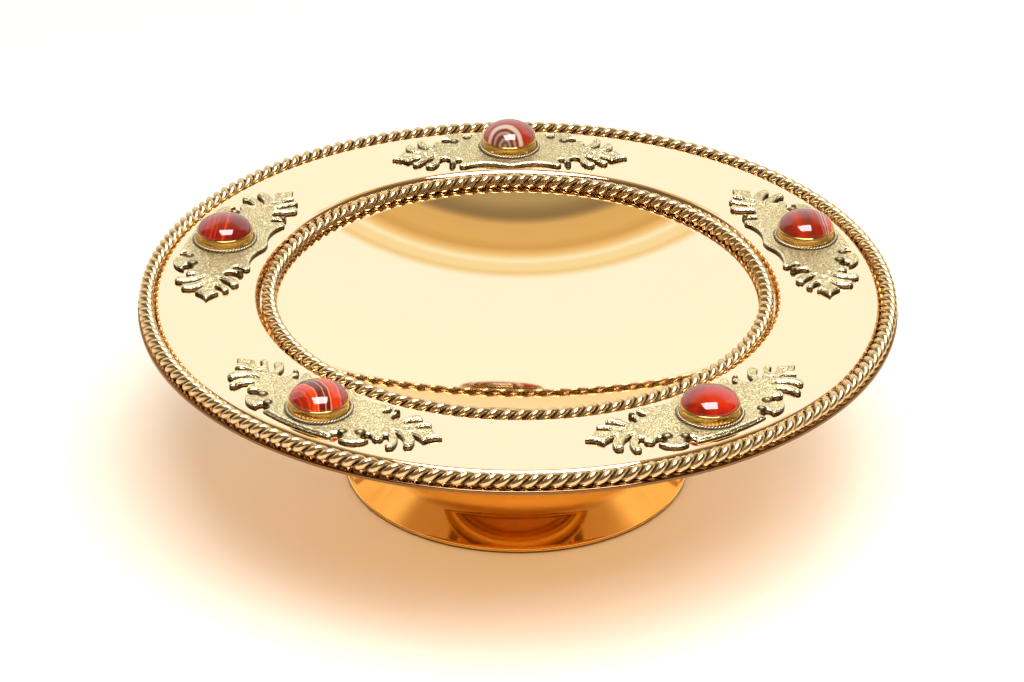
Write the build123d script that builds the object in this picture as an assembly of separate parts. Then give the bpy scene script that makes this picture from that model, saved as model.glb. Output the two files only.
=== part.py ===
from build123d import *
import math
import os

os.makedirs("parts", exist_ok=True)

# Footed paten plate. Millimetres, +Z up, the foot stands on Z = 0 and the
# plate's axis is the Z axis. The front of the plate looks along -Y.

# ---- overall sizes -------------------------------------------------------
plate_diameter = 250.0        # over the outer ledge
rim_height = 67.5             # table to the flat top of the rim
sheet = 1.5                   # thickness of the spun plate
foot_diameter = 115.6         # over the foot's base lip

# ---- wire ropes ----------------------------------------------------------
rope_diameter = 5.0           # over the twisted wires
rope_flat = 0.2               # depth filed off the underside so the rope sits flat
rope_edge_inset = 0.3         # plate edge to outer rope
rope_side_gap = 0.5           # outer rope to the step of the rim

# ---- plate section -------------------------------------------------------
outer_step = 3.2              # rim top down to the outer ledge
outer_step_round = 0.9        # rounding over the outer step
inner_step = 4.0              # rim top down to the inner ledge
inner_roll_radius = 2.4       # rolled inner edge of the rim
rim_inner_radius = 88.0       # where the flat rim starts to roll down
plate_edge_round = 0.5        # rounding of the plate's outer edge
inner_rope_gap = 1.1          # rolled wall to the inner rope
ledge_corner = 0.8            # rounding where a wall meets a ledge
ledge_inner_lap = 0.9         # ledge left showing inside the inner rope
dish_centre_radius = 44.0     # where the two curves of the dish meet
dish_centre_slope = 11.6      # degrees, slope of the dish at that radius
dish_edge_slope = 21.0        # degrees, slope of the dish at the ledge

# ---- foot ----------------------------------------------------------------
foot_sheet = 1.5              # thickness of the spun foot
foot_bend_radius = 45.0       # where the flat flare turns up towards the neck
foot_neck_radius = 32.0       # narrowest outside radius
foot_flange_radius = 37.0     # top flange soldered under the dish
foot_flange_thickness = 1.6   # flange thickness at its edge
foot_lip_height = 1.6         # upright band at the very base
foot_lip_round = 0.5          # rounding of that band
foot_lip_step = 0.9           # ledge between the band and the flare
foot_inner_rise = 0.4         # band's inner face up to the start of the inner flare
foot_neck_height = 30.0       # height where the foot is narrowest
foot_base_slope = 16.0        # degrees, slope of the flat flare

# ---- stone stations ------------------------------------------------------
station_radius = 103.3        # plate axis to a stone's centre
station_angles = [233.5, 305.4, 20.2, 91.9, 162.9]   # degrees, set by hand on the original
stone_diameter = 18.0         # at the top of the collar
stone_domes = [4.8, 4.6, 5.0, 5.5, 4.6]              # rise of each stone above its collar
stone_fullness = 0.72         # how full the dome's curve is; 0.707 is an ellipse

# ---- collars, cups and beaded wires --------------------------------------
collar_height = 2.9           # from the cup to the collar's lip
collar_wall = 0.45
collar_lean = 0.1             # how far the lip leans in over the stone, per side
stone_gap = 0.1               # stone to collar wall
cup_thickness = 0.8
bead_wire_diameter = 0.9
bead_wire_gap = 0.05          # collar to beaded wire
bead_wire_flat = 0.08         # depth filed off the beaded wire's underside

# ---- plaques -------------------------------------------------------------
plaque_length = 82.6          # tip to tip
plaque_thickness = 1.3
boss_rise = 0.45              # how far the round bosses stand above the plaque

# ---- hidden fasteners ----------------------------------------------------
post_diameter = 3.0
post_hole_gap = 0.15          # post to the holes it passes through, per side
washer_diameter = 7.0
washer_thickness = 0.5
nut_across_flats = 5.5
nut_height = 2.4
post_tail = 0.8               # post left showing under the nut

# ---- outline of one plaque ------------------------------------------------
# One half, from the middle of the outer edge round the tip to the middle of the
# inner edge. Across is +X along the rim, up is +Y away from the plate's axis.
# Each row is an arc: the point it passes through, then the point where it ends.
plaque_start = (0.0, 12.4)
plaque_outline = [
    ((7.0, 12.03), (13.5, 11.0)),       # long outer edge
    ((14.9, 7.9), (16.3, 10.8)),       # first notch
    ((21.8, 9.6), (23.9, 5.3)),        # first lobe
    ((20.7, 4.4), (23.7, 3.5)),        # second notch
    ((25.9, 3.8), (26.2, 0.9)),        # small leaf
    ((26.9, -0.1), (27.9, 0.7)),       # gap before the first curled leaf
    ((29.2, 2.1), (29.8, 4.2)),        # first curled leaf, inner side
    ((31.2, 5.6), (32.5, 4.0)),        # its tip
    ((31.3, 0.3), (27.0, -3.1)),       # its outer side
    ((31.2, -2.1), (33.7, 0.5)),       # second curled leaf, inner side
    ((35.5, 1.7), (36.6, -0.2)),       # its tip
    ((35.3, -3.1), (31.7, -5.2)),      # its outer side
    ((34.9, -5.1), (37.7, -4.0)),      # end leaf, shoulder
    ((38.7, -6.6), (41.3, -9.2)),      # end leaf, up to the point
    ((38.2, -9.9), (35.7, -11.6)),     # end leaf, under side
    ((33.9, -9.8), (31.5, -8.5)),      # gap behind the end leaf
    ((32.1, -10.9), (34.2, -12.3)),    # third curled leaf, outer side
    ((33.3, -13.9), (31.6, -13.2)),    # its tip
    ((29.3, -10.7), (26.4, -7.9)),     # its inner side
    ((27.4, -11.3), (29.7, -13.7)),    # fourth curled leaf, outer side
    ((28.4, -15.5), (26.3, -14.7)),    # its tip
    ((25.0, -12.6), (24.6, -10.4)),    # its inner side
    ((22.7, -8.6), (20.9, -10.4)),     # round hollow
    ((21.0, -12.0), (21.4, -13.2)),    # stalk between the two hollows
    ((20.4, -14.4), (19.3, -13.5)),    # end of the stalk
    ((19.0, -12.3), (19.2, -11.1)),    # stalk, other side
    ((18.0, -9.9), (16.8, -11.1)),     # small hollow
    ((17.3, -12.6), (17.9, -14.0)),    # side of the cusp
    ((16.7, -15.2), (15.2, -14.7)),    # cusp of the inner edge
    ((8.8, -13.0), (2.4, -14.5)),      # hollow of the inner edge
    ((1.2, -14.84), (0.0, -14.95)),    # middle point of the inner edge
]
plaque_bosses = [                      # place across, place up, radius
    (14.9, 6.9, 1.3),
    (19.6, 3.9, 1.5),
    (20.4, -13.3, 0.8),
]
plaque_pin_hole = (29.6, -6.6, 0.5)    # small hole in each end

# ---- places worked out from the sizes ------------------------------------
plate_radius = plate_diameter / 2
rope_radius = rope_diameter / 2
outer_rope_radius = plate_radius - rope_edge_inset - rope_radius
step_radius = outer_rope_radius - rope_radius - rope_side_gap
outer_ledge_z = rim_height - outer_step
inner_ledge_z = rim_height - inner_step
inner_wall_radius = rim_inner_radius - inner_roll_radius
inner_rope_radius = inner_wall_radius - inner_rope_gap - rope_radius
dish_edge_radius = inner_rope_radius - rope_radius - ledge_inner_lap

centre_slope = math.radians(dish_centre_slope)
edge_slope = math.radians(dish_edge_slope)
centre_curve = dish_centre_radius / math.sin(centre_slope)
edge_curve = (dish_edge_radius - dish_centre_radius) / (math.sin(edge_slope) - math.sin(centre_slope))
centre_rise = centre_curve * (1 - math.cos(centre_slope))
edge_rise = edge_curve * (math.cos(centre_slope) - math.cos(edge_slope))
dish_bottom_z = inner_ledge_z - centre_rise - edge_rise
centre_curve_z = dish_bottom_z + centre_curve
edge_curve_r = dish_centre_radius - edge_curve * math.sin(centre_slope)
edge_curve_z = dish_bottom_z + centre_rise + edge_curve * math.cos(centre_slope)

plaque_top_z = rim_height + plaque_thickness
plaque_scale = plaque_length / (2 * max(end[0] for via, end in plaque_outline))
cup_top_z = plaque_top_z + cup_thickness
collar_top_z = cup_top_z + collar_height
lip_inner_radius = stone_diameter / 2 + stone_gap
base_inner_radius = lip_inner_radius + collar_lean
base_outer_radius = base_inner_radius + collar_wall
rim_underside_z = rim_height - sheet
washer_base_z = rim_underside_z - washer_thickness
nut_base_z = washer_base_z - nut_height
post_base_z = nut_base_z - post_tail


def centre_point(slope, below):
    """Point of the dish's middle curve at one slope, lowered square to it by below."""
    reach = centre_curve + below
    return reach * math.sin(slope), centre_curve_z - reach * math.cos(slope)


def edge_point(slope, below):
    """Point of the dish's outer curve at one slope, lowered square to it by below."""
    reach = edge_curve + below
    return edge_curve_r + reach * math.sin(slope), edge_curve_z - reach * math.cos(slope)


def at_station(shape, angle):
    """Carry a shape modelled at the origin out to the stone station at one angle.

    The shape's +Y comes to point away from the plate's axis.
    """
    across = station_radius * math.cos(math.radians(angle))
    along = station_radius * math.sin(math.radians(angle))
    return Pos(across, along, 0) * Rot(0, 0, angle - 90) * shape


def on_all_stations(shape):
    """Copies of one shape at every station, as one compound of separate solids."""
    solids = []
    for angle in station_angles:
        solids.extend(at_station(shape, angle).solids())
    return Compound(children=solids)


def upright(radius, base_z, top_z):
    """Plain cylinder on the Z axis between two heights."""
    return Pos(0, 0, base_z) * Cylinder(
        radius, top_z - base_z, align=(Align.CENTER, Align.CENTER, Align.MIN)
    )


def wire_ring(ring_radius, wire_diameter, seat_z, flat):
    """Plain ring of round wire whose underside is filed flat at seat_z."""
    wire = wire_diameter / 2
    ring = Pos(0, 0, seat_z + wire - flat) * Torus(ring_radius, wire)
    span = 4 * ring_radius
    below = Box(span, span, 2 * wire, align=(Align.CENTER, Align.CENTER, Align.MAX))
    return ring - Pos(0, 0, seat_z) * below


def save(shape, node):
    """Write one sub-part; its file name is its node name."""
    shape.label = node
    export_step(shape, "parts/" + node + ".step")


# ---- plate ---------------------------------------------------------------
underside_r = inner_wall_radius + sheet
outer_underside_r = step_radius - sheet
with BuildPart() as plate_body:
    with BuildSketch(Plane.XZ) as plate_section:
        with BuildLine():
            ThreePointArc(centre_point(0, 0), centre_point(centre_slope / 2, 0), centre_point(centre_slope, 0))
            ThreePointArc(
                edge_point(centre_slope, 0),
                edge_point((centre_slope + edge_slope) / 2, 0),
                edge_point(edge_slope, 0),
            )
            Polyline(
                edge_point(edge_slope, 0),
                (inner_wall_radius, inner_ledge_z),
                (inner_wall_radius, rim_height),
                (step_radius, rim_height),
                (step_radius, outer_ledge_z),
                (plate_radius, outer_ledge_z),
                (plate_radius, outer_ledge_z - sheet),
                (outer_underside_r, outer_ledge_z - sheet),
                (outer_underside_r, rim_underside_z),
                (underside_r, rim_underside_z),
                (underside_r, inner_ledge_z - sheet),
                edge_point(edge_slope, sheet),
            )
            ThreePointArc(
                edge_point(edge_slope, sheet),
                edge_point((centre_slope + edge_slope) / 2, sheet),
                edge_point(centre_slope, sheet),
            )
            ThreePointArc(
                centre_point(centre_slope, sheet), centre_point(centre_slope / 2, sheet), centre_point(0, sheet)
            )
            Line(centre_point(0, sheet), centre_point(0, 0))
        make_face()

        def corner(radius, height):
            """Vertex of the section nearest one point."""
            return plate_section.vertices().sort_by_distance(Vector(radius, height, 0))[0]

        fillet(corner(inner_wall_radius, rim_height), inner_roll_radius)
        fillet(corner(inner_wall_radius, inner_ledge_z), ledge_corner)
        fillet(corner(step_radius, rim_height), outer_step_round)
        fillet(corner(step_radius, outer_ledge_z), ledge_corner)
        fillet(corner(underside_r, rim_underside_z), inner_roll_radius - sheet)
        fillet(corner(underside_r, inner_ledge_z - sheet), ledge_corner + sheet)
        fillet(corner(outer_underside_r, outer_ledge_z - sheet), ledge_corner + sheet / 2)
        fillet(corner(plate_radius, outer_ledge_z), plate_edge_round)
        fillet(corner(plate_radius, outer_ledge_z - sheet), plate_edge_round)
    revolve(axis=Axis.Z)
plate = plate_body.part
for angle in station_angles:
    plate -= at_station(upright(post_diameter / 2 + post_hole_gap, post_base_z, plaque_top_z), angle)
save(plate, "plate")

# ---- foot ----------------------------------------------------------------
foot_radius = foot_diameter / 2
flange_z = centre_point(math.asin(foot_flange_radius / (centre_curve + sheet)), sheet)[1]
flare_tangent = (-math.cos(math.radians(foot_base_slope)), math.sin(math.radians(foot_base_slope)))
flare_rise = math.tan(math.radians(foot_base_slope))
bend_z = foot_lip_height + (foot_radius - foot_lip_step - foot_bend_radius) * flare_rise
neck_top_z = flange_z - foot_flange_thickness - (foot_flange_radius - foot_neck_radius)
inner_bend_radius = foot_bend_radius - foot_sheet * math.sin(math.radians(foot_base_slope))
inner_bend_z = foot_inner_rise + (foot_radius - foot_sheet - inner_bend_radius) * flare_rise
with BuildPart() as foot_body:
    with BuildSketch(Plane.XZ) as foot_section:
        with BuildLine():
            Polyline(
                (foot_radius - foot_sheet, foot_inner_rise),
                (foot_radius - foot_sheet, 0),
                (foot_radius, 0),
                (foot_radius, foot_lip_height),
                (foot_radius - foot_lip_step, foot_lip_height),
                (foot_bend_radius, bend_z),
            )
            Spline(
                (foot_bend_radius, bend_z),
                (foot_neck_radius, foot_neck_height),
                tangents=[flare_tangent, (0, 1)],
            )
            Line((foot_neck_radius, foot_neck_height), (foot_neck_radius, neck_top_z))
            TangentArc(
                (foot_neck_radius, neck_top_z),
                (foot_flange_radius, flange_z - foot_flange_thickness),
                tangent=(0, 1),
            )
            Polyline(
                (foot_flange_radius, flange_z - foot_flange_thickness),
                (foot_flange_radius, flange_z + foot_sheet),
                (foot_neck_radius - foot_sheet, flange_z + foot_sheet),
                (foot_neck_radius - foot_sheet, foot_neck_height),
            )
            Spline(
                (foot_neck_radius - foot_sheet, foot_neck_height),
                (inner_bend_radius, inner_bend_z),
                tangents=[(0, -1), (-flare_tangent[0], -flare_tangent[1])],
            )
            Line((inner_bend_radius, inner_bend_z), (foot_radius - foot_sheet, foot_inner_rise))
        make_face()
        for height in (0, foot_lip_height):
            lip = foot_section.vertices().sort_by_distance(Vector(foot_radius, height, 0))[0]
            fillet(lip, foot_lip_round)
    revolve(axis=Axis.Z)
dish_underside = Pos(0, 0, centre_curve_z) * Sphere(centre_curve + sheet)
save(foot_body.part - dish_underside, "foot")

# ---- ropes ---------------------------------------------------------------
save(wire_ring(outer_rope_radius, rope_diameter, outer_ledge_z, rope_flat), "outer_rope")
save(wire_ring(inner_rope_radius, rope_diameter, inner_ledge_z, rope_flat), "inner_rope")

# ---- plaque --------------------------------------------------------------
with BuildPart() as plaque_body:
    with BuildSketch(Plane.XY.offset(rim_height)):
        with BuildLine():
            for side in (1, -1):
                start = plaque_start
                for via, end in plaque_outline:
                    ThreePointArc(
                        (side * start[0] * plaque_scale, start[1] * plaque_scale),
                        (side * via[0] * plaque_scale, via[1] * plaque_scale),
                        (side * end[0] * plaque_scale, end[1] * plaque_scale),
                    )
                    start = end
        make_face()
    extrude(amount=plaque_thickness)
plaque = plaque_body.part
for side in (1, -1):
    for across, up, radius in plaque_bosses:
        place = Pos(side * across * plaque_scale, up * plaque_scale, 0)
        plaque += place * upright(radius, rim_height, plaque_top_z)
        ball = (radius ** 2 + boss_rise ** 2) / (2 * boss_rise)
        cap = Pos(0, 0, plaque_top_z + boss_rise - ball) * Sphere(ball)
        plaque += place * (cap & upright(radius, plaque_top_z, plaque_top_z + 2 * boss_rise))
    hole = upright(plaque_pin_hole[2], rim_height, plaque_top_z)
    plaque -= Pos(side * plaque_pin_hole[0] * plaque_scale, plaque_pin_hole[1] * plaque_scale, 0) * hole
plaque -= upright(post_diameter / 2 + post_hole_gap, rim_height, plaque_top_z)

# ---- setting: cup, collar, beaded wire -----------------------------------
cup = upright(base_outer_radius, plaque_top_z, cup_top_z)
with BuildPart() as collar_body:
    with BuildSketch(Plane.XZ) as collar_section:
        with BuildLine():
            Polyline(
                (base_inner_radius, cup_top_z),
                (base_outer_radius, cup_top_z),
                (base_outer_radius - collar_lean, collar_top_z),
                (lip_inner_radius, collar_top_z),
                close=True,
            )
        make_face()
        fillet(collar_section.vertices().group_by(Axis.Z)[-1], collar_wall / 3)
    revolve(axis=Axis.Z)
bead_ring_radius = base_outer_radius + bead_wire_gap + bead_wire_diameter / 2
beaded_wire = wire_ring(bead_ring_radius, bead_wire_diameter, plaque_top_z, bead_wire_flat)


def stone(dome):
    """Cabochon whose girdle fills the collar and whose dome rises above it."""
    girdle_base = base_inner_radius - stone_gap
    girdle_top = stone_diameter / 2
    with BuildPart() as body:
        with BuildSketch(Plane.XZ):
            with BuildLine():
                Polyline(
                    (0, collar_top_z + dome),
                    (0, cup_top_z),
                    (girdle_base, cup_top_z),
                    (girdle_top, collar_top_z),
                )
                Spline(
                    (girdle_top, collar_top_z),
                    (girdle_top * stone_fullness, collar_top_z + dome * stone_fullness),
                    (0, collar_top_z + dome),
                    tangents=[(0, 1), (-1, 0)],
                )
            make_face()
        revolve(axis=Axis.Z)
    return body.part


for number, angle in enumerate(station_angles, start=1):
    save(at_station(plaque, angle), "plaque_" + str(number))
    save(at_station(cup, angle), "setting_cup_" + str(number))
    save(at_station(collar_body.part, angle), "bezel_collar_" + str(number))
    save(at_station(beaded_wire, angle), "beaded_wire_" + str(number))
    save(at_station(stone(stone_domes[number - 1]), angle), "stone_" + str(number))

# ---- posts, washers and nuts under the rim -------------------------------
post = upright(post_diameter / 2, post_base_z, plaque_top_z)
washer = upright(washer_diameter / 2, washer_base_z, rim_underside_z)
washer -= upright(post_diameter / 2 + post_hole_gap, washer_base_z, rim_underside_z)
nut_blank = extrude(RegularPolygon(nut_across_flats / 2, 6, major_radius=False), nut_height)
nut = Pos(0, 0, nut_base_z) * nut_blank - upright(post_diameter / 2, nut_base_z, washer_base_z)
save(on_all_stations(post), "setting_posts")
save(on_all_stations(washer), "post_washers")
save(on_all_stations(nut), "post_nuts")
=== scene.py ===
"""Looks of the footed paten plate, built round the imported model.

Lengths are in metres. The plate's axis is the Z axis and the foot stands on
Z = 0. A "station" is the place of one stone on the rim.
"""

import logging
import math
from dataclasses import dataclass
from enum import Enum

import bmesh
import bpy
import numpy as np
from mathutils import Matrix, Vector


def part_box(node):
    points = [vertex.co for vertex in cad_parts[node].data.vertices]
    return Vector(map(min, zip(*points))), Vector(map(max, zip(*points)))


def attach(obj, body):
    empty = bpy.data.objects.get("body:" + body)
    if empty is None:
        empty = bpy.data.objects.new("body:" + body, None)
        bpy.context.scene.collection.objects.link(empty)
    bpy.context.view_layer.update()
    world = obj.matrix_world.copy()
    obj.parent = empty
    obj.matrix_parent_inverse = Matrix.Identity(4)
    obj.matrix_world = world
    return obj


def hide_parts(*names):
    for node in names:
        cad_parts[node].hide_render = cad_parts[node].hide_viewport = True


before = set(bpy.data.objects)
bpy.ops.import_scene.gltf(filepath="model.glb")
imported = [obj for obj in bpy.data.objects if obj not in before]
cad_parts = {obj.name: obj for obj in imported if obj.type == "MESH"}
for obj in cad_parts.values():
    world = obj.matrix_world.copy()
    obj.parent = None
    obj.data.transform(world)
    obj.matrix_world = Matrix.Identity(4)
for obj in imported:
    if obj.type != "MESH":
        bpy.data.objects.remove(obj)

LOG = logging.getLogger("paten")
MM = 0.001
ROOT = "root"

Colour = tuple[float, float, float]
Socket = bpy.types.NodeSocket
Value = float | Colour | Socket


class Lay(Enum):
    """Which way the strands of a twisted wire wind."""

    RIGHT = 1
    LEFT = -1


class Banding(Enum):
    """Which coordinate a stone's bands are counted along."""

    SHELLS = "shells"
    SHEETS = "sheets"


# ---------------------------------------------------------------- node tools


class Graph:
    """A node tree that is filled in one call at a time."""

    def __init__(self, tree: bpy.types.NodeTree) -> None:
        """Empty the tree.

        Args:
            tree: The node tree of a material or of the world.
        """
        self.tree = tree
        tree.nodes.clear()

    def add(self, kind: str, inputs: dict | None = None, **settings: object) -> bpy.types.Node:
        """Add one node.

        Args:
            kind: The node's type name.
            inputs: Input name or number to a value, or to an output socket to link from.
            **settings: Properties of the node itself.

        Returns:
            The new node.
        """
        node = self.tree.nodes.new(kind)
        for name, value in settings.items():
            setattr(node, name, value)
        for name, value in (inputs or {}).items():
            if isinstance(value, Socket):
                self.tree.links.new(value, node.inputs[name])
            else:
                node.inputs[name].default_value = value
        return node

    def math(self, operation: str, a: Value, b: Value | None = None, clamp: bool = False) -> Socket:
        """Output of a Math node.

        Args:
            operation: The Math node's operation.
            a: First number or socket.
            b: Second number or socket, if the operation takes one.
            clamp: Whether the result is held between 0 and 1.

        Returns:
            The result socket.
        """
        inputs = {0: a} if b is None else {0: a, 1: b}
        return self.add("ShaderNodeMath", inputs, operation=operation, use_clamp=clamp).outputs[0]

    def vector(self, operation: str, a: Value, b: Value | None = None, **inputs: Value) -> Socket:
        """Output of a Vector Math node: a number for LENGTH and DOT_PRODUCT, otherwise a vector.

        Args:
            operation: The node's operation.
            a: First vector or socket.
            b: Second vector or socket, if the operation takes one.
            **inputs: Other inputs by name.

        Returns:
            The result socket.
        """
        values = {0: a, **({} if b is None else {1: b}), **inputs}
        node = self.add("ShaderNodeVectorMath", values, operation=operation)
        return node.outputs["Value" if operation in ("LENGTH", "DOT_PRODUCT") else "Vector"]

    def here(self) -> Socket:
        """Object coordinates."""
        return self.add("ShaderNodeTexCoord").outputs["Object"]

    def surface(self, inputs: dict) -> None:
        """End a material with one Principled shader.

        Args:
            inputs: Input name to a value or socket.
        """
        shader = self.add("ShaderNodeBsdfPrincipled", inputs)
        self.add("ShaderNodeOutputMaterial", {"Surface": shader.outputs[0]})

    def noise(self, vector: Socket, scale: float, detail: float = 2.0, roughness: float = 0.5) -> Socket:
        """Grey noise between 0 and 1.

        Args:
            vector: Socket to read the place from.
            scale: Lumps in a metre.
            detail: Octaves.
            roughness: Strength of the finer octaves.

        Returns:
            The noise's grey socket.
        """
        inputs = {"Vector": vector, "Scale": scale, "Detail": detail, "Roughness": roughness}
        return self.add("ShaderNodeTexNoise", inputs).outputs[0]

    def ramp(self, factor: Socket, stops: list[tuple[float, Colour]], smooth: bool = False) -> Socket:
        """Colour looked up along a ramp.

        Args:
            factor: Socket that picks the place on the ramp.
            stops: Place and colour of each stop, in order.
            smooth: Whether the ramp eases between stops.

        Returns:
            The colour socket.
        """
        node = self.add("ShaderNodeValToRGB", {0: factor})
        node.color_ramp.interpolation = "EASE" if smooth else "LINEAR"
        elements = node.color_ramp.elements
        while len(elements) < len(stops):
            elements.new(1.0)
        for element, (place, colour) in zip(elements, stops):
            element.position = place
            element.color = (*colour, 1.0)
        return node.outputs[0]

    def blend(self, factor: Value, a: Value, b: Value) -> Socket:
        """Colour a turning into colour b.

        Args:
            factor: Socket or number, 0 for a and 1 for b.
            a: Colour or socket.
            b: Colour or socket.

        Returns:
            The mixed colour socket.
        """
        node = self.add("ShaderNodeMix", data_type="RGBA")
        for slot, value in ((0, factor), (6, a), (7, b)):
            if isinstance(value, Socket):
                self.tree.links.new(value, node.inputs[slot])
            else:
                node.inputs[slot].default_value = (*value, 1.0) if slot else value
        return node.outputs[2]

    def bump(self, height: Socket, strength: float, depth: float) -> Socket:
        """Bumped normal.

        Args:
            height: Socket with the height, 0 to 1.
            strength: How much of the bump is felt.
            depth: Depth of the bump in metres.

        Returns:
            The normal socket.
        """
        inputs = {"Height": height, "Strength": strength, "Distance": depth}
        return self.add("ShaderNodeBump", inputs).outputs[0]


def new_material(name: str) -> tuple[bpy.types.Material, Graph]:
    """An empty node material.

    Args:
        name: The material's name.

    Returns:
        The material and its graph.
    """
    material = bpy.data.materials.new(name)
    material.use_nodes = True
    return material, Graph(material.node_tree)


# ---------------------------------------------------------------- mesh tools


def grid_faces(rows: int, columns: int, wrap_rows: bool, wrap_columns: bool) -> np.ndarray:
    """Quads between neighbouring points of a grid stored row by row.

    Args:
        rows: Points along the first parameter.
        columns: Points along the second parameter.
        wrap_rows: Whether the last row joins the first.
        wrap_columns: Whether the last column joins the first.

    Returns:
        Array of four vertex numbers for each quad.
    """
    i = np.arange(rows if wrap_rows else rows - 1)
    j = np.arange(columns if wrap_columns else columns - 1)
    a, b = np.meshgrid(i, j, indexing="ij")
    a, b = a.ravel(), b.ravel()
    c, d = (a + 1) % rows, (b + 1) % columns
    return np.stack([a * columns + b, c * columns + b, c * columns + d, a * columns + d], axis=1)


def make_mesh(name: str, points: np.ndarray, faces: np.ndarray, merge: bool = False) -> bpy.types.Object:
    """An object at the origin with a smooth mesh whose faces point outwards.

    Args:
        name: Name of the object.
        points: Vertex places in metres.
        faces: Vertex numbers of each quad.
        merge: Whether points in the same place become one, as at a pole.

    Returns:
        The object, linked into the scene.
    """
    mesh = bpy.data.meshes.new(name)
    mesh.from_pydata(points.reshape(-1, 3).tolist(), [], faces.tolist())
    shell = bmesh.new()
    shell.from_mesh(mesh)
    if merge:
        bmesh.ops.remove_doubles(shell, verts=shell.verts, dist=1e-7)
        bmesh.ops.dissolve_degenerate(shell, edges=shell.edges, dist=1e-8)
    bmesh.ops.recalc_face_normals(shell, faces=shell.faces)
    shell.to_mesh(mesh)
    shell.free()
    mesh.polygons.foreach_set("use_smooth", np.ones(len(mesh.polygons), bool))
    piece = bpy.data.objects.new(name, mesh)
    bpy.context.scene.collection.objects.link(piece)
    return piece


def add_attribute(piece: bpy.types.Object, name: str, values: np.ndarray) -> None:
    """Store one number for each vertex.

    Args:
        piece: The object.
        name: Attribute name that a material can read.
        values: One number per vertex.
    """
    layer = piece.data.attributes.new(name, "FLOAT", "POINT")
    layer.data.foreach_set("value", values.astype(np.float32).ravel())


def arc(centre: tuple[float, float], radius: float, start: float, end: float, steps: int) -> np.ndarray:
    """Points of a circular arc: centre plus radius times (cosine, sine) of the angle.

    Args:
        centre: Centre as (radius from the axis, height).
        radius: Radius of the arc.
        start: First angle in degrees.
        end: Last angle in degrees.
        steps: Number of points.

    Returns:
        Array of (radius from the axis, height).
    """
    angle = np.radians(np.linspace(start, end, steps))
    return np.stack([centre[0] + radius * np.cos(angle), centre[1] + radius * np.sin(angle)], axis=1)


def straight(a: np.ndarray, b: np.ndarray, steps: int) -> np.ndarray:
    """Points between two profile points, both left out: a + (b - a) t for t inside 0 to 1."""
    t = np.linspace(0, 1, steps + 2)[1:-1, None]
    return np.asarray(a) * (1 - t) + np.asarray(b) * t


def revolve(name: str, profile: np.ndarray, steps: int) -> bpy.types.Object:
    """Closed surface of revolution about the Z axis.

    Each point is (r cos angle, r sin angle, z), for (r, z) along a closed
    profile and angle once round.

    Args:
        name: Name of the object.
        profile: Closed loop of (radius, height); the last point joins the first.
        steps: Divisions once round.

    Returns:
        The new object.
    """
    angle = np.linspace(0, 2 * np.pi, steps, endpoint=False)[:, None]
    r, z = profile[None, :, 0], profile[None, :, 1]
    points = np.stack([r * np.cos(angle), r * np.sin(angle), z + 0 * angle], axis=2)
    return make_mesh(name, points, grid_faces(steps, len(profile), True, True), merge=True)


def place(piece: bpy.types.Object, centre: Vector) -> bpy.types.Object:
    """Carry a piece's mesh from the Z axis to stand over a point, object left at the origin."""
    piece.data.transform(Matrix.Translation((centre[0], centre[1], 0)))
    return piece


def finish_piece(piece: bpy.types.Object, material: bpy.types.Material, slot: str,
                 *nodes: str) -> bpy.types.Object:
    """Dress a new piece and tie it to the frame.

    Args:
        piece: The new object.
        material: Its material.
        slot: Material slot of the record that it takes its finish from; not used.
        *nodes: Model nodes that it stands for.

    Returns:
        The same object.
    """
    piece.data.materials.clear()
    piece.data.materials.append(material)
    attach(piece, ROOT)
    if nodes:
        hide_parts(*nodes)
    LOG.info("%s: %d faces", piece.name, len(piece.data.polygons))
    return piece


# ---------------------------------------------------------------- finishes


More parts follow.
